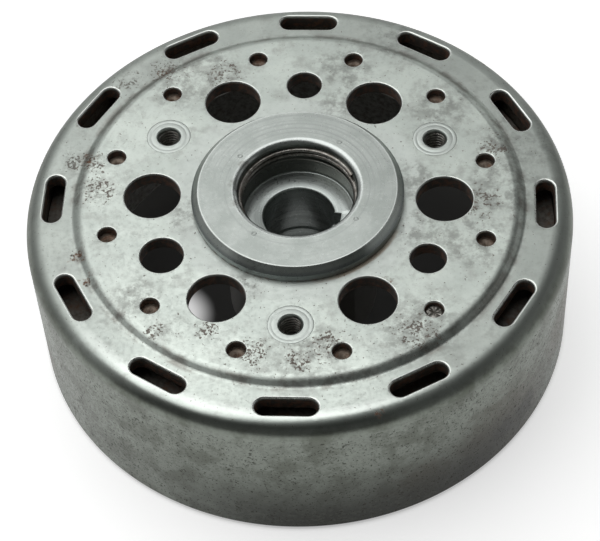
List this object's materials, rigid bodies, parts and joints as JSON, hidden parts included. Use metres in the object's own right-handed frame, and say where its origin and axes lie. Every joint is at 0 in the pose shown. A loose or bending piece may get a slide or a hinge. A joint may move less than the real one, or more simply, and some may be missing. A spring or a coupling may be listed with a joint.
{
  "type": "flywheel",
  "caption": "Outer-rotor magneto flywheel: a stepped steel cup with magnets in its rim, slotted and drilled web, and a flanged hub with a puller thread and tapered keyed bore.",
  "frame": {"origin": "centre of the cup's open face, where the crankshaft's axis meets the plane of the rim's lower edge", "axes": "+Z along the crankshaft's axis, from the open face towards the hub's flange; +X through one large hole, with the keyway 6 degrees clockwise of it"},
  "size_m": [0.14, 0.14, 0.05],
  "materials": {
    "cup_steel": "worn bare steel, greenish grey, with fine pits, stains and rust in the step",
    "hub_steel": "turned steel with fine concentric marks",
    "insert_steel": "turned steel",
    "rivet_steel": "brown rusted ends",
    "basket_steel": "dull drawn stainless sheet",
    "spacer_aluminium": "dark, stained",
    "magnet": "matt dark ferrite"
  },
  "bodies": {
    "root": {"rotor_cup": "cup_steel", "hub": "hub_steel", "magnet_basket": "basket_steel", "spacer_ring": "spacer_aluminium", "basket_rivets": "rivet_steel", "puller_insert_1": "insert_steel", "puller_insert_2": "insert_steel", "puller_insert_3": "insert_steel", "magnet_01": "magnet", "magnet_02": "magnet", "magnet_03": "magnet", "magnet_04": "magnet", "magnet_05": "magnet", "magnet_06": "magnet", "magnet_07": "magnet", "magnet_08": "magnet", "magnet_09": "magnet", "magnet_10": "magnet", "magnet_11": "magnet", "magnet_12": "magnet"}
  },
  "joints": []
}
